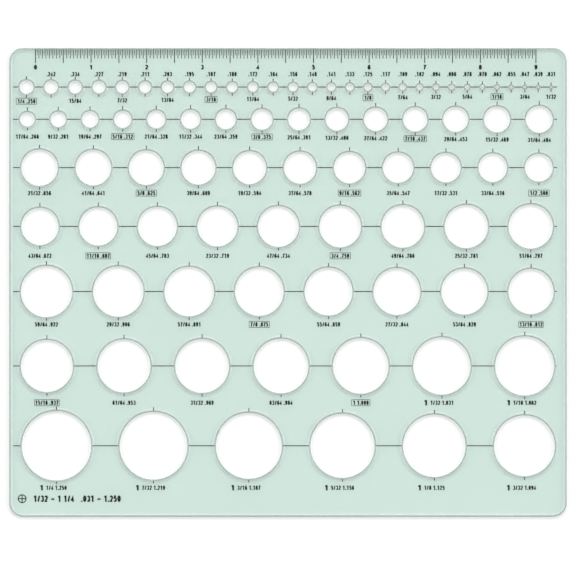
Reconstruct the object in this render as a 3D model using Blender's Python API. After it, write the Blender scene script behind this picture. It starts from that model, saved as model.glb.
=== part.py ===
"""Circle template, a drafting instrument for drawing circles of set sizes in ink or pencil.

One see-through plastic sheet holds 85 round holes in seven rows. Its underside is stepped back round
each hole and round the outline, which keeps the edge that the pen follows off the paper. The ink on
its top face is modelled as the marks that hold together as one solid each: the inch scale, the
scale's numerals, the frames of the common sizes and a crossed circle. Metres, +X to the right and +Y
to the scale's edge as the numerals are read, +Z up, with the origin under the middle of the sheet.
"""

import math
from collections import namedtuple
from fractions import Fraction

import bmesh
import bpy
from mathutils import Matrix

MM = 0.001
INCH = 25.4 * MM

# The sheet, and the step along its underside
SHEET_WIDTH = 254.7 * MM
SHEET_THICKNESS = 1.3 * MM
CORNER_RADIUS = 6.35 * MM
STEP_WIDTH = 1.1 * MM
STEP_HEIGHT = 0.5 * MM
CORNER_SEGMENTS = 6
CHORD_ERROR = 0.2 * MM
FEWEST_SIDES = 8

# The printed marks
INK_THICKNESS = 0.03 * MM
LINE_WIDTH = 0.22 * MM
LABEL_GAP = 3.3 * MM
FRAME_HEIGHT = 3.0 * MM
FRAME_CORNER = 0.3 * MM
FRAME_MARGIN = 0.95 * MM
LETTER_PITCH = 0.96 * MM

# The inch scale along the top edge: as many whole inches as fit between its two ends
SCALE_FROM_SIDE = 12.0 * MM
SCALE_INCHES = int((SHEET_WIDTH - 2 * SCALE_FROM_SIDE) / INCH)
SCALE_DIVISIONS = 32
SHORT_TICK = 3.4 * MM
MIDDLE_TICK = 4.8 * MM
LONG_TICK = 6.9 * MM
BASE_LINE = 0.15 * MM
NUMERAL_FROM_TOP = 8.8 * MM
NUMERAL_HEIGHT = 2.0 * MM
NUMERAL_WIDTH_SHARE = 0.85
DIGIT_PITCH = 1.3 * MM

# The crossed circle at the lower left
SIGN_FROM_LEFT = 5.9 * MM
SIGN_FROM_BOTTOM = 8.3 * MM
SIGN_RADIUS = 2.0 * MM
SIGN_LINE = 0.45 * MM
SIGN_SEGMENTS = 6


def sizes(first, last, denominator):
    """Hole diameters in inches, from first to last over the denominator, in steps of one."""
    step = 1 if last > first else -1
    return [Fraction(n, denominator) for n in range(first, last + step, step)]


# The rows, top to bottom. A row's largest hole lies gap_above below the largest hole of the row over
# it, or below the sheet's edge, and its holes stand a web apart, from one margin to the other. A label
# lies below its hole, or below a circle of the radius label_floor where the hole is smaller than that,
# and with no floor all of the row's labels lie level with that of its largest hole.
Row = namedtuple("Row", "diameters gap_above left_margin right_margin label_floor")
ROWS = [
    Row(sizes(32, 4, 128), 14.7 * MM, 4.7 * MM, 6.8 * MM, 1.1 * MM),
    Row(sizes(17, 31, 64), 5.4 * MM, 4.9 * MM, 6.4 * MM, 4.6 * MM),
    Row(sizes(42, 32, 64), 7.6 * MM, 5.5 * MM, 6.4 * MM, None),
    Row(sizes(43, 51, 64), 8.4 * MM, 5.5 * MM, 6.3 * MM, None),
    Row(sizes(59, 52, 64), 7.9 * MM, 5.3 * MM, 6.0 * MM, None),
    Row(sizes(60, 64, 64) + sizes(33, 34, 32), 8.8 * MM, 5.3 * MM, 5.7 * MM, None),
    Row(sizes(40, 35, 32), 7.1 * MM, 5.7 * MM, 5.4 * MM, None),
]
BOTTOM_MARGIN = 16.6 * MM
FRACTION_ONLY_BELOW = Fraction(1, 4)
FRAMED_DENOMINATOR = 16


def row_height(row):
    return float(max(row.diameters)) * INCH


SHEET_DEPTH = sum(row.gap_above + row_height(row) for row in ROWS) + BOTTOM_MARGIN

Hole = namedtuple("Hole", "diameter x y radius label_drop")


def row_holes(row, y):
    """The holes of a row whose centres are at y, left to right."""
    widths = [float(diameter) * INCH for diameter in row.diameters]
    free = SHEET_WIDTH - row.left_margin - row.right_margin - sum(widths)
    web = free / (len(widths) - 1)
    floor = row.label_floor or row_height(row) / 2
    edge = row.left_margin - SHEET_WIDTH / 2
    holes = []
    for diameter, width in zip(row.diameters, widths):
        drop = LABEL_GAP + max(width / 2, floor)
        holes.append(Hole(diameter, edge + width / 2, y, width / 2, drop))
        edge += width + web
    return holes


def all_holes():
    """Every hole of the sheet, row by row."""
    holes = []
    edge = SHEET_DEPTH / 2
    for row in ROWS:
        edge -= row.gap_above
        holes += row_holes(row, edge - row_height(row) / 2)
        edge -= row_height(row)
    return holes


def clear_scene():
    for item in list(bpy.data.objects):
        bpy.data.objects.remove(item)


def new_collection(name):
    collection = bpy.data.collections.new(name)
    bpy.context.scene.collection.children.link(collection)
    return collection


def new_material(name, colour, roughness):
    """A Principled material of one colour, given with its alpha."""
    material = bpy.data.materials.new(name)
    material.use_nodes = True
    material.diffuse_color = colour
    shader = material.node_tree.nodes["Principled BSDF"]
    shader.inputs["Base Color"].default_value = colour
    shader.inputs["Alpha"].default_value = colour[3]
    shader.inputs["Roughness"].default_value = roughness
    shader.inputs["Metallic"].default_value = 0.0
    return material


def arc(x, y, radius, start, turn, segments):
    """Points along an arc, both ends included."""
    angles = [start + turn * i / segments for i in range(segments + 1)]
    return [(x + radius * math.cos(a), y + radius * math.sin(a)) for a in angles]


def circle(x, y, radius, sides):
    return arc(x, y, radius, 0.0, math.tau, sides)[:-1]


def rounded_rectangle(x, y, width, height, corner, segments):
    """A rectangle about (x, y) with its corners rounded, counterclockwise from the right."""
    points = []
    for quarter, (side_x, side_y) in enumerate([(1, 1), (-1, 1), (-1, -1), (1, -1)]):
        centre_x = x + side_x * (width / 2 - corner)
        centre_y = y + side_y * (height / 2 - corner)
        start = quarter * math.pi / 2
        points += arc(centre_x, centre_y, corner, start, math.pi / 2, segments)
    return points


def sides_of(radius):
    """The fewest sides, in fours, that keep a circle's chords within the chord error."""
    half_turn = math.acos(1 - min(CHORD_ERROR / radius, 0.5))
    return max(FEWEST_SIDES, 4 * math.ceil(math.pi / half_turn / 4))


def solid_from_curve(name, curve, material, collection, transform=Matrix()):
    """A curve with an extrude as a mesh object, with its caps joined to its sides."""
    source = bpy.data.objects.new(name + "_curve", curve)
    collection.objects.link(source)
    source.matrix_world = transform
    bpy.context.view_layer.update()
    depsgraph = bpy.context.evaluated_depsgraph_get()
    mesh = bpy.data.meshes.new_from_object(source.evaluated_get(depsgraph))
    mesh.name = name
    body = bmesh.new()
    body.from_mesh(mesh)
    bmesh.ops.remove_doubles(body, verts=body.verts, dist=1e-6)
    bmesh.ops.recalc_face_normals(body, faces=body.faces)
    body.to_mesh(mesh)
    body.free()
    solid = bpy.data.objects.new(name, mesh)
    solid.matrix_world = source.matrix_world
    collection.objects.link(solid)
    bpy.data.objects.remove(source)
    mesh.materials.clear()
    mesh.materials.append(material)
    return solid


def plate(name, outlines, bottom, top, material, collection):
    """A flat solid between two heights. An outline that lies inside another one is a hole."""
    curve = bpy.data.curves.new(name, "CURVE")
    curve.dimensions = "2D"
    curve.fill_mode = "BOTH"
    curve.extrude = (top - bottom) / 2
    for points in outlines:
        spline = curve.splines.new("POLY")
        spline.points.add(len(points) - 1)
        spline.use_cyclic_u = True
        for point, (x, y) in zip(spline.points, points):
            point.co = (x, y, 0.0, 1.0)
    middle = Matrix.Translation((0.0, 0.0, (top + bottom) / 2))
    return solid_from_curve(name, curve, material, collection, middle)


def printed(name, outlines, material, collection):
    """A mark of ink on the sheet's top face."""
    top = SHEET_THICKNESS + INK_THICKNESS
    return plate(name, outlines, SHEET_THICKNESS, top, material, collection)


def sheet_outlines(holes, step):
    """The sheet's outline and its holes, with every edge moved back into the plastic by step."""
    width = SHEET_WIDTH - 2 * step
    depth = SHEET_DEPTH - 2 * step
    corner = CORNER_RADIUS - step
    outlines = [rounded_rectangle(0.0, 0.0, width, depth, corner, CORNER_SEGMENTS)]
    for hole in holes:
        outlines.append(circle(hole.x, hole.y, hole.radius + step, sides_of(hole.radius)))
    return outlines


def add_sheet(holes, material, collection, cutters):
    """The full outline above, joined to the stepped-back outline that rests on the paper."""
    sheet = plate(
        "template_sheet",
        sheet_outlines(holes, 0.0),
        STEP_HEIGHT,
        SHEET_THICKNESS,
        material,
        collection,
    )
    foot = plate(
        "resting_layer",
        sheet_outlines(holes, STEP_WIDTH),
        0.0,
        (STEP_HEIGHT + SHEET_THICKNESS) / 2,
        material,
        cutters,
    )
    foot.hide_render = True
    foot.display_type = "WIRE"
    join = sheet.modifiers.new("resting_layer", "BOOLEAN")
    join.operation = "UNION"
    join.solver = "EXACT"
    join.object = foot
    return sheet


def tick_length(division):
    if division % (SCALE_DIVISIONS // 2) == 0:
        return LONG_TICK
    if division % 2 == 0:
        return MIDDLE_TICK
    return SHORT_TICK


def scale_x(inches):
    return SCALE_FROM_SIDE - SHEET_WIDTH / 2 + inches * INCH


def add_graduations(material, collection):
    """The scale's ticks, one comb with its base line along the sheet's edge."""
    top = SHEET_DEPTH / 2
    last = SCALE_INCHES * SCALE_DIVISIONS
    half = LINE_WIDTH / 2
    points = [(scale_x(0) - half, top)]
    for division in range(last + 1):
        x = scale_x(division / SCALE_DIVISIONS)
        tip = top - tick_length(division)
        if division > 0:
            points.append((x - half, top - BASE_LINE))
        points += [(x - half, tip), (x + half, tip)]
        if division < last:
            points.append((x + half, top - BASE_LINE))
    points.append((scale_x(SCALE_INCHES) + half, top))
    printed("scale_graduations", [points], material, collection)


def add_digit(name, digit, x, material, collection):
    """One digit of the scale, centred on x."""
    text = bpy.data.curves.new(name, "FONT")
    text.body = digit
    text.resolution_u = 3
    text.extrude = INK_THICKNESS / 2
    solid = solid_from_curve(name, text, material, collection)
    corners = [vertex.co for vertex in solid.data.vertices]
    low = [min(corner[i] for corner in corners) for i in range(2)]
    high = [max(corner[i] for corner in corners) for i in range(2)]
    centred = Matrix.Translation((-(low[0] + high[0]) / 2, -(low[1] + high[1]) / 2, 0.0))
    scale = NUMERAL_HEIGHT / (high[1] - low[1])
    sized = Matrix.Diagonal((scale * NUMERAL_WIDTH_SHARE, scale, 1.0, 1.0))
    solid.data.transform(sized @ centred)
    y = SHEET_DEPTH / 2 - NUMERAL_FROM_TOP
    solid.location = (x, y, SHEET_THICKNESS + INK_THICKNESS / 2)


def add_numeral(number, material, collection):
    """The numeral under one of the scale's inch ticks, a solid for each of its digits."""
    digits = str(number)
    for place, digit in enumerate(digits):
        name = f"scale_numeral_{number}"
        if len(digits) > 1:
            name += f"_digit_{place + 1}"
        x = scale_x(number) + (place - (len(digits) - 1) / 2) * DIGIT_PITCH
        add_digit(name, digit, x, material, collection)


def label_letters(hole):
    """How many characters the hole's label has: the fraction, a space and three decimals."""
    fraction = len(str(hole.diameter))
    decimal = 4 if hole.diameter < 1 else 5
    if hole.diameter < FRACTION_ONLY_BELOW:
        return fraction
    return fraction + 1 + decimal


def is_framed(diameter):
    return diameter <= 1 and diameter.denominator <= FRAMED_DENOMINATOR


def add_frame(hole, material, collection):
    """The frame round the label of a common size, below its hole."""
    name = "size_frame_" + str(hole.diameter).replace("/", "_")
    width = label_letters(hole) * LETTER_PITCH + 2 * FRAME_MARGIN
    y = hole.y - hole.label_drop
    outlines = []
    for inset in (0.0, LINE_WIDTH):
        side = width - 2 * inset
        height = FRAME_HEIGHT - 2 * inset
        corner = FRAME_CORNER - inset
        outlines.append(rounded_rectangle(hole.x, y, side, height, corner, 2))
    printed(name, outlines, material, collection)


def add_sign(material, collection):
    """A circle with its two centre lines: a ring and a cross, left by four quarter openings."""
    x = SIGN_FROM_LEFT - SHEET_WIDTH / 2
    y = SIGN_FROM_BOTTOM - SHEET_DEPTH / 2
    inner = SIGN_RADIUS - SIGN_LINE
    half = SIGN_LINE / 2
    lean = math.asin(half / inner)
    outlines = [circle(x, y, SIGN_RADIUS, 4 * SIGN_SEGMENTS)]
    for quarter in range(4):
        start = quarter * math.pi / 2
        side_x = 1 if quarter in (0, 3) else -1
        side_y = 1 if quarter in (0, 1) else -1
        rim = arc(x, y, inner, start + lean, math.pi / 2 - 2 * lean, SIGN_SEGMENTS)
        outlines.append(rim + [(x + side_x * half, y + side_y * half)])
    printed("crossed_circle_sign", outlines, material, collection)


def main():
    clear_scene()
    parts = new_collection("circle_template")
    cutters = new_collection("cutters")
    plastic = new_material("tinted_plastic", (0.64, 0.79, 0.72, 0.55), 0.2)
    ink = new_material("black_ink", (0.01, 0.012, 0.011, 1.0), 0.5)
    holes = all_holes()

    add_sheet(holes, plastic, parts, cutters)
    add_graduations(ink, parts)
    for number in range(SCALE_INCHES + 1):
        add_numeral(number, ink, parts)
    for hole in holes:
        if is_framed(hole.diameter):
            add_frame(hole, ink, parts)
    add_sign(ink, parts)


main()
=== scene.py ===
"""The looks of a circle template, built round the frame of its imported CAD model.

The sheet is made again with round holes, rounded edges and the step along its underside, and takes the
place of the faceted CAD sheet. New ticks and numerals take the place of the CAD scale and its numerals.
The ink that CAD leaves out is added: the centre lines, the ticks and labels at the holes, and the range of
sizes. The frames and the crossed circle stay as CAD made them. Holes, sizes and places are read from the
frame.
"""

import math
from collections import namedtuple
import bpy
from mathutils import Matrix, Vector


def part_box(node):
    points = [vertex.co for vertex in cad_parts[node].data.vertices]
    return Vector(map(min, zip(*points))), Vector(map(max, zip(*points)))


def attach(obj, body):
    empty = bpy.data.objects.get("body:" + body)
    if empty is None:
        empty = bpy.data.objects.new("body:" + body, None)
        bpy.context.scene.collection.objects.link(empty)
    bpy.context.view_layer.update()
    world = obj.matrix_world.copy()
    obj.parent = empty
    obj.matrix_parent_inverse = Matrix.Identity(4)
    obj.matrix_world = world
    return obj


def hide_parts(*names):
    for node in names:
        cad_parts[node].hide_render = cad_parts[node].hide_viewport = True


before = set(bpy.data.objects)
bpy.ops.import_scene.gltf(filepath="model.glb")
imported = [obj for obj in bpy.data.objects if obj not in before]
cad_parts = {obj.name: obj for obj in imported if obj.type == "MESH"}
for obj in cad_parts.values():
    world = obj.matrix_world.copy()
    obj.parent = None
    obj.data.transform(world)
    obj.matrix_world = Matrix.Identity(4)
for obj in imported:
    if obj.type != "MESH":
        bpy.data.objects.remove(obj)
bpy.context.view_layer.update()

from fractions import Fraction

import bmesh
import bpy
from mathutils import Vector

MM = 0.001
INCH = 25.4 * MM

SHEET = "template_sheet"
SCALE = "scale_graduations"
SHEET_LOW, SHEET_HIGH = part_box(SHEET)
TOP = SHEET_HIGH.z
INK_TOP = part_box(SCALE)[1].z

# The sheet's edges. The top edge is rounded further across the sheet than down its side, and a clearer line
# runs round the top face above the step's inner corner as a painted highlight.
STEP_WIDTH = 1.1 * MM
STEP_HEIGHT = 0.5 * MM
PAINTED_HIGHLIGHT_WIDTH = 0.5 * MM
TOP_ROUND = 0.55 * MM
TOP_FALL = 0.4 * MM
LOW_ROUND = 0.12 * MM
STEP_FILLET = 0.3 * MM
CORNER_STEPS = 20

# A hole's outline has four times this many points, and four more for each millimetre of its radius
LEAST_QUARTER_STEPS = 6

# Hole sizes are whole multiples of this part of an inch, and points nearer than WELD are one point
FINEST_SIZE = Fraction(1, 128)
WELD = 0.002 * MM

# Centre lines, and the ticks above and below each hole. The upper ones are longer from the second row on.
LINE_WIDTH = 0.4 * MM
LINE_FROM_LEFT = 1.8 * MM
LINE_FROM_RIGHT = 4.5 * MM
LINE_GAP = 0.6 * MM
TICK_GAP = 0.5 * MM
TICK_LENGTH = 1.2 * MM
UPPER_TICK_LENGTH = 1.6 * MM

# The scale: each kind of tick, with its length (none for one that is as long as the CAD comb) and width
SCALE_DIVISIONS = 32
SCALE_FROM_EDGE = 0.6 * MM
Tick = namedtuple("Tick", "length width")
HALF_INCH = Tick(None, 0.4 * MM)
SIXTEENTH = Tick(4.8 * MM, 0.33 * MM)
THIRTY_SECOND = Tick(3.4 * MM, 0.24 * MM)

# Size labels. A label lies below its hole, or below a circle of its row's floor where the hole is smaller.
# A row that isn't listed has its largest hole as its floor. The first row's decimals rise above their holes,
# and the whole inch of a larger size reaches out to the left of its label.
LABEL_GAP = 3.3 * MM
LABEL_FLOORS = {0: 1.1 * MM, 1: 4.6 * MM}
DECIMAL_RISE = 5.9 * MM
WHOLE_INCH_REACH = 2.9 * MM
SIZE_RANGE_GAP = 3.2 * MM

# Heights of the letters
NUMERAL_HEIGHT = 2.25 * MM
LABEL_HEIGHT = 2.05 * MM
WHOLE_INCH_HEIGHT = 2.7 * MM
SIZE_RANGE_HEIGHT = 3.0 * MM

# Letters, as shares of their height
LETTER_WIDTH = 0.52
LETTER_STROKE = 0.25
LETTER_SPACE = 0.065
OTHER_WIDTHS = {"/": 0.44, ".": 0.24, " ": 0.26, "-": 0.7}

# How much wider the lone numerals are, the least width of a letter's centre lines as a share of the
# letter's own, and the smallest cosine by which a stroke's corner is drawn out
LONE_NUMERAL_STRETCH = 1.2
LEAST_SPREAD = 0.1
MITRE_LIMIT = 0.62

# The view
VIEW_WIDTH = 263.1 * MM
VIEW_CENTRE_Y = -2.56 * MM
VIEW_REACH = 20.0
LENS = 200.0
SENSOR = 36.0

# The sheet's zones and their plastic: how much of its own colour hides what is behind it, that colour,
# the tint of what shows through, and the roughness of its gloss. The ledge and edge zones are darker than
# the plate, as painted shade along the rim of the sheet and round each hole, and the step zone is clearer,
# as a painted highlight line. Both stand in for light that the plastic bends at its edges.
Plastic = namedtuple("Plastic", "haze body tint roughness")
PLASTICS = {
    "plate": Plastic(0.08, (0.42, 0.77, 0.66), (0.95, 0.98, 0.965), 0.1),
    # Painted shade: the ledge band is darker than the plate, for the darkening that the bent light gives
    # near the rim
    "ledge": Plastic(0.08, (0.36, 0.62, 0.54), (0.905, 0.935, 0.92), 0.1),
    # Painted shade: the rounded top edge is dark and hazy, a painted dark line round the sheet and each hole
    "edge": Plastic(0.5, (0.16, 0.29, 0.24), (0.87, 0.905, 0.89), 0.16),
    "wall": Plastic(0.6, (0.3, 0.52, 0.43), (0.87, 0.905, 0.89), 0.2),
    # Painted highlight: the step zone is nearly clear and pale, so its band on the top face shows as a light
    # line
    "step": Plastic(0.03, (0.9, 1.0, 0.97), (0.985, 0.995, 0.99), 0.12),
}

# The plastic's cloudiness and grain, and the ink's cover and mesh, in cycles per metre. The scratches run
# along two directions, in degrees, where their noise is above SCRATCH_FROM.
CLOUD_SCALE = 24.0
GRAIN_SCALE = 900.0
COVER_SCALE = 650.0
MESH_SCALE = 5200.0
SCRATCH_SCALE = (22.0, 2600.0, 22.0)
SCRATCH_ANGLES = (24.0, -51.0)
SCRATCH_FROM, SCRATCH_TO = 0.7, 0.78

# How far the plastic varies: its cloudiness at the darkest, as shares of the tint and of its own colour,
# and how much the grain adds to its roughness
DEEPEST_TINT = 0.985
DARKEST_BODY = 0.86
ROUGHER = 0.12

# The plastic's gloss, square-on and at a grazing angle, and how fast it grows between them
GLOSS_SQUARE_ON, GLOSS_GRAZING = 0.035, 0.9
GLOSS_POWER = 5.0

# The floor
FLOOR_SIZE = 6.0
FLOOR_GAP = 0.05 * MM

# The lamps: strength, then elevation and azimuth in degrees, with azimuth 0 at +Y and 90 at +X
LAMPS = {
    "key_light": (1.6, 40.0, 5.0),
    "right_light": (1.58, 30.0, 78.0),
    "left_light": (1.25, 30.0, -75.0),
}
LAMP_WIDTH = math.radians(40.0)

# The sky's strength, and the heights, as sines, between which it fades from horizon to overhead
HORIZON, OVERHEAD = 0.75, 0.345
FADE_FROM, FADE_TO = 0.06, 0.3

Hole = namedtuple("Hole", "diameter x y radius")


def sheet_top():
    """The CAD sheet as a welded bmesh, and the edges round its top face."""
    body = bmesh.new()
    body.from_mesh(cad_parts[SHEET].data)
    bmesh.ops.remove_doubles(body, verts=body.verts, dist=WELD)
    rims = []
    for edge in body.edges:
        level = all(abs(vertex.co.z - TOP) < WELD for vertex in edge.verts)
        flat = sum(abs(face.normal.z) > 0.9 for face in edge.link_faces)
        if level and flat == 1:
            rims.append(edge)
    return body, rims


def rim_loops():
    """The closed outlines of the CAD sheet's top face, each a list of points."""
    body, rims = sheet_top()
    ahead = {}
    for edge in rims:
        for vertex in edge.verts:
            ahead.setdefault(vertex, []).append(edge.other_vert(vertex))
    loops = []
    while ahead:
        vertex = next(iter(ahead))
        loop = []
        while vertex in ahead:
            loop.append(vertex.co.copy())
            neighbours = ahead.pop(vertex)
            vertex = next((v for v in neighbours if v in ahead), None)
        loops.append(loop)
    body.free()
    return loops


def middle_and_half(loop):
    """The middle of an outline and half its width, as x, y and the half."""
    xs = [point.x for point in loop]
    ys = [point.y for point in loop]
    return (min(xs) + max(xs)) / 2, (min(ys) + max(ys)) / 2, (max(xs) - min(xs)) / 2


def read_frame():
    """The holes of the CAD sheet in rows, top row first and left to right, and its corners' radius."""
    loops = sorted(rim_loops(), key=lambda loop: middle_and_half(loop)[2])
    outline = loops.pop()
    straight = max(point.x for point in outline if abs(point.y - SHEET_HIGH.y) < WELD)
    rows = {}
    for loop in loops:
        x, y, radius = middle_and_half(loop)
        diameter = round(2 * radius / INCH / FINEST_SIZE) * FINEST_SIZE
        rows.setdefault(round(y / MM), []).append(Hole(diameter, x, y, radius))
    ordered = [sorted(rows[y], key=lambda hole: hole.x) for y in sorted(rows, reverse=True)]
    return ordered, SHEET_HIGH.x - straight


def arc(x, y, across, up, start, turn, steps):
    """Points along an elliptical arc about (x, y), both ends included, angles in degrees."""
    angles = [math.radians(start + turn * i / steps) for i in range(steps + 1)]
    return [(x + across * math.cos(a), y + up * math.sin(a)) for a in angles]


# Materials


def feed(tree, socket, value):
    """Sets a socket to a plain value, or links it to another node's socket."""
    if isinstance(value, bpy.types.NodeSocket):
        tree.links.new(value, socket)
    else:
        socket.default_value = value


def add_node(tree, kind, **values):
    """A node, with some of its inputs fed."""
    node = tree.nodes.new("ShaderNode" + kind)
    for name, value in values.items():
        feed(tree, node.inputs[name.replace("_", " ")], value)
    return node


def calculated(tree, operation, first, second):
    """The result of a calculation on two values."""
    node = tree.nodes.new("ShaderNodeMath")
    node.operation = operation
    feed(tree, node.inputs[0], first)
    feed(tree, node.inputs[1], second)
    return node.outputs[0]


def ranged(tree, value, low, high, start=0.0, end=1.0):
    """A value brought from the range start to end into the range low to high."""
    node = add_node(tree, "MapRange", Value=value)
    node.inputs["From Min"].default_value = start
    node.inputs["From Max"].default_value = end
    node.inputs["To Min"].default_value = low
    node.inputs["To Max"].default_value = high
    return node.outputs["Result"]


def noise(tree, place, scale, detail=2.0):
    """Smooth noise over coordinates in metres, as a value."""
    return add_node(tree, "TexNoise", Vector=place, Scale=scale, Detail=detail).outputs["Fac"]


def between(tree, share, first, second):
    """A colour between two others."""
    node = tree.nodes.new("ShaderNodeMix")
    node.data_type = "RGBA"
    tree.links.new(share, node.inputs["Factor"])
    node.inputs[6].default_value = (*first, 1.0)
    node.inputs[7].default_value = (*second, 1.0)
    return node.outputs[2]


def blended(tree, share, first, second):
    """Two shader nodes as one, with the second's share."""
    node = add_node(tree, "MixShader", Fac=share)
    tree.links.new(first.outputs[0], node.inputs[1])
    tree.links.new(second.outputs[0], node.inputs[2])
    return node


def scratches(tree, place, angle):
    """Thin, rare lines along one direction, as a value that is 1 on a line."""
    turned = tree.nodes.new("ShaderNodeMapping")
    tree.links.new(place, turned.inputs["Vector"])
    turned.inputs["Rotation"].default_value = (0.0, 0.0, math.radians(angle))
    turned.inputs["Scale"].default_value = SCRATCH_SCALE
    lines = noise(tree, turned.outputs["Vector"], 1.0, 1.0)
    return ranged(tree, lines, 0.0, 1.0, SCRATCH_FROM, SCRATCH_TO)


def new_material(name):
    """A material with an empty node tree, and the object's own coordinates in it."""
    material = bpy.data.materials.new(name)
    material.use_nodes = True
    tree = material.node_tree
    tree.nodes.clear()
    place = tree.nodes.new("ShaderNodeTexCoord").outputs["Object"]
    return material, tree, place


def finish_material(tree, shader):
    """Puts a shader node on the material's surface."""
    out = tree.nodes.new("ShaderNodeOutputMaterial")
    tree.links.new(shader.outputs[0], out.inputs["Surface"])


def clear_plastic(zone):
    """See-through plastic: a tint for what shows through it, a haze of its own colour, and a gloss."""
    haze, body_colour, tint, roughness = PLASTICS[zone]
    material, tree, place = new_material(f"{zone}_plastic")
    cloud = noise(tree, place, CLOUD_SCALE)
    wear = calculated(tree, "MAXIMUM", *(scratches(tree, place, angle) for angle in SCRATCH_ANGLES))
    grain = noise(tree, place, GRAIN_SCALE, 3.0)
    relief = add_node(tree, "Bump", Strength=0.12, Distance=0.04 * MM, Height=grain)
    worn = add_node(tree, "Bump", Strength=0.35, Distance=0.03 * MM, Height=wear)
    worn.invert = True
    tree.links.new(relief.outputs["Normal"], worn.inputs["Normal"])
    normal = worn.outputs["Normal"]

    deeper = tuple(channel * DEEPEST_TINT for channel in tint)
    clear = add_node(tree, "BsdfTransparent", Color=between(tree, cloud, deeper, tint))
    darker = tuple(channel * DARKEST_BODY for channel in body_colour)
    body = add_node(tree, "BsdfPrincipled", Normal=normal)
    tree.links.new(between(tree, cloud, darker, body_colour), body.inputs["Base Color"])
    tree.links.new(ranged(tree, grain, roughness, roughness + ROUGHER), body.inputs["Roughness"])
    body.inputs["IOR"].default_value = 1.49
    cloudy = blended(tree, haze, clear, body)

    facing = add_node(tree, "LayerWeight", Blend=0.5, Normal=normal).outputs["Facing"]
    steep = calculated(tree, "POWER", facing, GLOSS_POWER)
    gloss = add_node(tree, "BsdfGlossy", Roughness=roughness, Normal=normal)
    gloss.inputs["Color"].default_value = (1.0, 1.0, 1.0, 1.0)
    mirror = ranged(tree, steep, GLOSS_SQUARE_ON, GLOSS_GRAZING)
    finish_material(tree, blended(tree, mirror, cloudy, gloss))
    return material


def printed_ink(name):
    """Screen-printing ink: near black, satin, with a fine mesh grain and small changes of cover."""
    material, tree, place = new_material(name)
    cover = noise(tree, place, COVER_SCALE, 3.0)
    grain = noise(tree, place, MESH_SCALE)
    ink = tree.nodes.new("ShaderNodeBsdfPrincipled")
    colour = between(tree, cover, (0.0045, 0.0075, 0.0065), (0.016, 0.022, 0.019))
    tree.links.new(colour, ink.inputs["Base Color"])
    tree.links.new(ranged(tree, cover, 0.42, 0.62), ink.inputs["Roughness"])
    ink.inputs["Specular IOR Level"].default_value = 0.25
    relief = add_node(tree, "Bump", Strength=0.3, Distance=0.01 * MM, Height=grain)
    tree.links.new(relief.outputs["Normal"], ink.inputs["Normal"])
    finish_material(tree, ink)
    return material


# The sheet


def edge_profile():
    """The edge in section, from the top face round to the underside, as points (inset, height, zone).

    The inset is how far the point lies back from the outline, into the plastic. The zone names the
    material of the band that ends at the point.
    """
    back = STEP_WIDTH
    low, inner = LOW_ROUND, STEP_FILLET
    top_round = arc(TOP_ROUND, TOP - TOP_FALL, TOP_ROUND, TOP_FALL, 90.0, 90.0, 5)
    lip = arc(low, STEP_HEIGHT + low, low, low, 180.0, 90.0, 2)
    fillet = arc(back - inner, STEP_HEIGHT - inner, inner, inner, 90.0, -90.0, 3)
    foot = arc(back + low, low, low, low, 180.0, 90.0, 2)
    # The band of step plastic on the top face is a painted highlight line
    points = [(back + PAINTED_HIGHLIGHT_WIDTH, TOP, "step"), (back, TOP, "step")]
    # The ledge and edge bands below are painted shade, darker than the plate
    points += [(top_round[0][0], top_round[0][1], "ledge")]
    points += [(d, z, "edge") for d, z in top_round[1:]]
    points += [(d, z, "wall") for d, z in lip]
    points += [(fillet[0][0], fillet[0][1], "ledge")]
    points += [(d, z, "step") for d, z in fillet[1:]]
    points += [(d, z, "step") for d, z in foot]
    return points


def round_outline(hole):
    """A function that gives a hole's outline, moved back into the plastic by an inset."""
    quarter_steps = LEAST_QUARTER_STEPS + math.ceil(hole.radius / MM)

    def at(inset):
        radius = hole.radius + inset
        return arc(hole.x, hole.y, radius, radius, 0.0, 360.0, 4 * quarter_steps)[:-1]

    return at


def sheet_outline(corner):
    """A function that gives the sheet's own outline, moved in by an inset."""

    def at(inset):
        points = []
        radius = corner - inset
        for turn, (side_x, side_y) in enumerate([(1, 1), (-1, 1), (-1, -1), (1, -1)]):
            x = side_x * (SHEET_HIGH.x - corner)
            y = side_y * (SHEET_HIGH.y - corner)
            points += arc(x, y, radius, radius, 90.0 * turn, 90.0, CORNER_STEPS)
        return points

    return at


def add_band(body, outline, profile, zones):
    """Skins the sheet's edge along one outline. Gives the loops of edges where the faces begin."""
    rings = []
    for inset, height, _ in profile:
        rings.append([body.verts.new((x, y, height)) for x, y in outline(inset)])
    count = len(rings[0])
    for above, below, (_, _, zone) in zip(rings, rings[1:], profile[1:]):
        for i in range(count):
            j = (i + 1) % count
            face = body.faces.new((above[i], above[j], below[j], below[i]))
            face.material_index = zones.index(zone)
            face.smooth = True
    ends = []
    for ring in (rings[0], rings[-1]):
        ends.append([body.edges.get((ring[i - 1], ring[i])) for i in range(count)])
    return ends


def build_sheet(rows, corner):
    """The sheet with its round holes, as one closed mesh with a material for each zone."""
    zones = list(PLASTICS)
    body = bmesh.new()
    profile = edge_profile()
    outlines = [sheet_outline(corner)]
    outlines += [round_outline(hole) for row in rows for hole in row]
    tops, feet = [], []
    for outline in outlines:
        top_edges, foot_edges = add_band(body, outline, profile, zones)
        tops += top_edges
        feet += foot_edges
    for edges, up in ((tops, 1.0), (feet, -1.0)):
        normal = Vector((0.0, 0.0, up))
        bmesh.ops.triangle_fill(body, edges=edges, use_beauty=True, normal=normal)
    bmesh.ops.recalc_face_normals(body, faces=body.faces)
    materials = [clear_plastic(zone) for zone in zones]
    sheet = finish_piece("clear_sheet", body, materials)
    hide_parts(SHEET)


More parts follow.
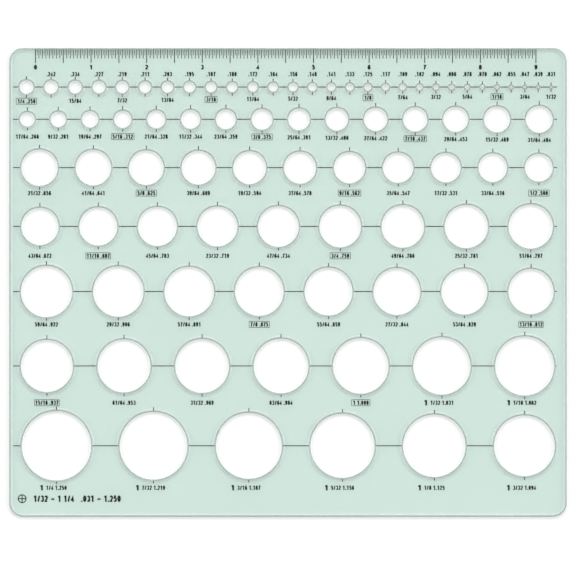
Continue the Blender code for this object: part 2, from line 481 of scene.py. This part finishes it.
def finish_piece(name, body, materials):
    """A bmesh as an object that rides on the part, in its material slot."""
    mesh = bpy.data.meshes.new(name)
    body.to_mesh(mesh)
    body.free()
    for material in materials:
        mesh.materials.append(material)
    piece = bpy.data.objects.new(name, mesh)
    bpy.context.scene.collection.objects.link(piece)
    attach(piece, "root")
    return piece


# The print


def reversed_letter(strokes):
    """A letter's strokes after half a turn."""
    return [[(1.0 - x, 1.0 - y) for x, y in stroke] for stroke in strokes]


# Each letter is drawn by its centre lines in a box one wide and one high. A stroke that ends where it
# began is a loop.
SIX = [
    arc(0.5, 0.31, 0.5, 0.31, 0.0, 360.0, 16),
    arc(0.56, 0.42, 0.56, 0.58, 42.0, 158.0, 10),
]
LETTERS = {
    "0": [arc(0.5, 0.5, 0.5, 0.5, 0.0, 360.0, 20)],
    "1": [[(0.68, 1.15), (0.68, -0.15)], [(-0.1, 0.78), (0.6, 1.02)]],
    "2": [arc(0.5, 0.71, 0.5, 0.29, 165.0, -200.0, 12) + [(0.0, 0.0), (1.05, 0.0)]],
    "3": [
        arc(0.48, 0.77, 0.44, 0.23, 155.0, -245.0, 12),
        arc(0.48, 0.27, 0.52, 0.27, 90.0, -245.0, 12),
    ],
    "4": [[(1.3, 0.24), (-0.1, 0.24), (0.76, 1.0), (0.76, -0.15)]],
    "5": [
        [(0.95, 1.0), (0.2, 1.0), (0.08, 0.5)],
        arc(0.48, 0.31, 0.52, 0.31, 142.0, -292.0, 14),
    ],
    "6": SIX,
    "7": [[(-0.15, 1.0), (1.0, 1.0), (0.55, 0.5), (0.35, -0.15)]],
    "8": [
        arc(0.5, 0.77, 0.42, 0.23, 0.0, 360.0, 16),
        arc(0.5, 0.27, 0.5, 0.27, 0.0, 360.0, 16),
    ],
    "9": reversed_letter(SIX),
    "/": [[(0.0, -0.1), (1.0, 1.1)]],
    ".": [[(0.5, -0.15), (0.5, 0.12)]],
    "-": [[(0.0, 0.42), (1.0, 0.42)]],
    " ": [],
}


def mitre(before, point, after, half):
    """How far a stroke's side lies from its centre line at a point, as a vector to the left."""
    ways = []
    for start, end in ((before, point), (point, after)):
        way = Vector((end[0] - start[0], end[1] - start[1]))
        if way.length > 0.0:
            ways.append(way.normalized())
    side = Vector((0.0, 0.0))
    for way in ways:
        side += Vector((-way.y, way.x))
    side.normalize()
    cosine = side.dot(Vector((-ways[0].y, ways[0].x)))
    return side * half / max(cosine, MITRE_LIMIT)


def add_stroke(body, points, width):
    """A flat stroke of ink along some points, as a closed solid on the sheet."""
    loop = math.dist(points[0], points[-1]) < WELD
    if loop:
        points = points[:-1]
    count = len(points)
    rings = []
    for i, point in enumerate(points):
        before = points[i - 1] if loop or i > 0 else point
        after = points[(i + 1) % count] if loop or i < count - 1 else point
        side = mitre(before, point, after, width / 2)
        left = (point[0] + side.x, point[1] + side.y)
        right = (point[0] - side.x, point[1] - side.y)
        corners = [(*left, INK_TOP), (*right, INK_TOP), (*right, TOP), (*left, TOP)]
        rings.append([body.verts.new(corner) for corner in corners])
    for i in range(count if loop else count - 1):
        near, far = rings[i], rings[(i + 1) % count]
        for a in range(4):
            b = (a + 1) % 4
            body.faces.new((near[a], far[a], far[b], near[b]))
    if not loop:
        body.faces.new(rings[0])
        body.faces.new(reversed(rings[-1]))


def letter_width(letter, height):
    return height * OTHER_WIDTHS.get(letter, LETTER_WIDTH)


def text_width(text, height):
    widths = [letter_width(letter, height) for letter in text]
    return sum(widths) + LETTER_SPACE * height * (len(text) - 1)


def add_text(body, text, x, y, height, stretch=1.0):
    """A line of numerals whose left end is at x and whose middle height is at y."""
    stroke = LETTER_STROKE * height * stretch
    for letter in text:
        width = letter_width(letter, height) * stretch
        inner = max(width - stroke, LEAST_SPREAD * width)
        tall = height - stroke
        for points in LETTERS[letter]:
            placed = []
            for across, up in points:
                placed.append((x + (width - inner) / 2 + across * inner, y + (up - 0.5) * tall))
            add_stroke(body, placed, stroke)
        x += width + LETTER_SPACE * height * stretch


def add_centred(body, text, x, y, height, stretch=1.0):
    start = x - text_width(text, height) * stretch / 2
    add_text(body, text, start, y, height, stretch)


def decimal(diameter):
    """A diameter in inches to three places, halves rounded down, without a nought before the point."""
    thousandths = math.ceil(diameter * 1000 - Fraction(1, 2))
    whole = str(thousandths // 1000) if diameter >= 1 else ""
    return f"{whole}.{thousandths % 1000:03d}"


def print_piece(name, body, ink):
    """A finished piece of the print, too thin and near to the paper to shade it."""
    bmesh.ops.recalc_face_normals(body, faces=body.faces)
    piece = finish_piece(name, body, [ink])
    piece.visible_shadow = False
    return piece


def label_y(number, row, hole):
    """The height of a hole's size label: below the hole, or level with the row's others."""
    floor = LABEL_FLOORS.get(number, max(other.radius for other in row))
    return hole.y - LABEL_GAP - max(hole.radius, floor)


def print_labels(number, row, ink):
    """The size labels below a row of holes, and the decimals above the first row.

    In the first row, a hole in the finest sizes has its decimal only.
    """
    body = bmesh.new()
    for hole in row:
        y = label_y(number, row, hole)
        fraction = str(hole.diameter)
        if hole.diameter > 1:
            text = f"{hole.diameter - 1} {decimal(hole.diameter)}"
            x = hole.x - text_width(text, LABEL_HEIGHT) / 2
            add_text(body, text, x, y, LABEL_HEIGHT)
            start = x - WHOLE_INCH_REACH
            add_text(body, "1", start, y, WHOLE_INCH_HEIGHT, LONE_NUMERAL_STRETCH)
        elif number > 0 or hole == row[0]:
            add_centred(body, f"{fraction} {decimal(hole.diameter)}", hole.x, y, LABEL_HEIGHT)
        elif hole.diameter.denominator < FINEST_SIZE.denominator:
            add_centred(body, fraction, hole.x, y, LABEL_HEIGHT)
        if number == 0 and hole != row[0]:
            add_centred(body, decimal(hole.diameter), hole.x, hole.y + DECIMAL_RISE, LABEL_HEIGHT)
    print_piece(f"size_labels_row_{number + 1}", body, ink)


def print_lines(number, row, ink):
    """A row's centre line, broken at each hole, and the ticks above and below the holes."""
    body = bmesh.new()
    y = row[0].y
    start = SHEET_LOW.x + LINE_FROM_LEFT
    for hole in row:
        end = hole.x - hole.radius - LINE_GAP
        add_stroke(body, [(start, y), (end, y)], LINE_WIDTH)
        start = hole.x + hole.radius + LINE_GAP
        for way in (1, -1):
            length = UPPER_TICK_LENGTH if way > 0 and number > 0 else TICK_LENGTH
            near = y + way * (hole.radius + TICK_GAP)
            far = near + way * length
            add_stroke(body, [(hole.x, near), (hole.x, far)], LINE_WIDTH)
    end = SHEET_HIGH.x - LINE_FROM_RIGHT
    if end > start + LINE_WIDTH:
        add_stroke(body, [(start, y), (end, y)], LINE_WIDTH)
    print_piece(f"centre_lines_row_{number + 1}", body, ink)


def print_scale(ink):
    """The inch scale's ticks, from just inside the sheet's edge, in the place of the CAD comb."""
    low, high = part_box(SCALE)
    inches = round((high.x - low.x) / INCH)
    half = (high.x - low.x - inches * INCH) / 2
    body = bmesh.new()
    for division in range(inches * SCALE_DIVISIONS + 1):
        x = low.x + half + division * INCH / SCALE_DIVISIONS
        if division % (SCALE_DIVISIONS // 2) == 0:
            tick = HALF_INCH
        else:
            tick = THIRTY_SECOND if division % 2 else SIXTEENTH
        end = high.y - (tick.length or high.y - low.y)
        add_stroke(body, [(x, SHEET_HIGH.y - SCALE_FROM_EDGE), (x, end)], tick.width)
    scale = print_piece("scale_ticks", body, ink)
    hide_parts(SCALE)


def print_numerals(ink):
    """The scale's numerals, each in the place of its CAD solid."""
    for name in sorted(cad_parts):
        if not name.startswith("scale_numeral_"):
            continue
        low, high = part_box(name)
        body = bmesh.new()
        middle = (low + high) / 2
        numeral = name.split("_")[2]
        add_centred(body, numeral, middle.x, middle.y, NUMERAL_HEIGHT, LONE_NUMERAL_STRETCH)
        piece = print_piece(f"numeral_{numeral}", body, ink)
        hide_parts(name)


def print_size_range(rows, ink):
    """The smallest and the largest size of hole, both ways, beside the crossed circle."""
    low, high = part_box("crossed_circle_sign")
    sizes = [hole.diameter for row in rows for hole in row]
    body = bmesh.new()
    low_size, high_size = min(sizes), max(sizes)
    text = f"{low_size} - 1 {high_size - 1}   {decimal(low_size)} - {decimal(high_size)}"
    add_text(body, text, high.x + SIZE_RANGE_GAP, (low.y + high.y) / 2, SIZE_RANGE_HEIGHT)
    print_piece("size_range", body, ink)


def carry_over(ink):
    """The frames and the crossed circle stay as CAD made them, in the new ink."""
    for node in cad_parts.values():
        if not node.hide_render:
            node.data.materials.clear()
            node.data.materials.append(ink)
            node.visible_shadow = False


# The studio


def add_floor():
    """A plain white floor just under the sheet."""
    bpy.ops.mesh.primitive_plane_add(size=FLOOR_SIZE, location=(0.0, 0.0, -FLOOR_GAP))
    floor = bpy.context.object
    floor.name = "studio_floor"
    material = bpy.data.materials.new("studio_white")
    material.use_nodes = True
    paint = material.node_tree.nodes["Principled BSDF"]
    paint.inputs["Base Color"].default_value = (0.93, 0.93, 0.93, 1.0)
    paint.inputs["Roughness"].default_value = 0.9
    paint.inputs["Specular IOR Level"].default_value = 0.0
    floor.data.materials.append(material)


def add_lamp(name, strength, elevation, azimuth):
    """A wide, soft sun."""
    light = bpy.data.lights.new(name, "SUN")
    light.energy = strength
    light.angle = LAMP_WIDTH
    lamp = bpy.data.objects.new(name, light)
    up, round_z = math.radians(elevation), math.radians(azimuth)
    towards = Vector(
        (math.cos(up) * math.sin(round_z), math.cos(up) * math.cos(round_z), math.sin(up))
    )
    lamp.rotation_euler = towards.to_track_quat("Z", "Y").to_euler()
    bpy.context.scene.collection.objects.link(lamp)


def add_world():
    """A pale wall all round the horizon, and a dimmer sky above it."""
    world = bpy.data.worlds.new("studio")
    world.use_nodes = True
    tree = world.node_tree
    sky = tree.nodes["Background"]
    sky.inputs["Color"].default_value = (1.0, 1.0, 1.0, 1.0)
    direction = tree.nodes.new("ShaderNodeTexCoord").outputs["Generated"]
    height = add_node(tree, "SeparateXYZ", Vector=direction).outputs["Z"]
    strength = ranged(tree, height, HORIZON, OVERHEAD, FADE_FROM, FADE_TO)
    tree.links.new(strength, sky.inputs["Strength"])
    bpy.context.scene.world = world


def add_studio():
    add_floor()
    add_world()
    for name, setting in LAMPS.items():
        add_lamp(name, *setting)
    bpy.context.scene.view_settings.view_transform = "Standard"


def add_camera():
    """Looks straight down from far off, with the scale's edge at the top."""
    camera = bpy.data.cameras.new("camera")
    camera.lens = LENS
    camera.sensor_width = SENSOR
    camera.clip_end = VIEW_REACH
    place = bpy.data.objects.new("camera", camera)
    place.location = (0.0, VIEW_CENTRE_Y, TOP + VIEW_WIDTH * LENS / SENSOR)
    bpy.context.scene.collection.objects.link(place)
    bpy.context.scene.camera = place


def main():
    rows, corner = read_frame()
    ink = printed_ink("screen_ink")
    build_sheet(rows, corner)
    for number, row in enumerate(rows):
        print_lines(number, row, ink)
        print_labels(number, row, ink)
    print_scale(ink)
    print_numerals(ink)
    print_size_range(rows, ink)
    carry_over(ink)
    add_studio()
    add_camera()


main()
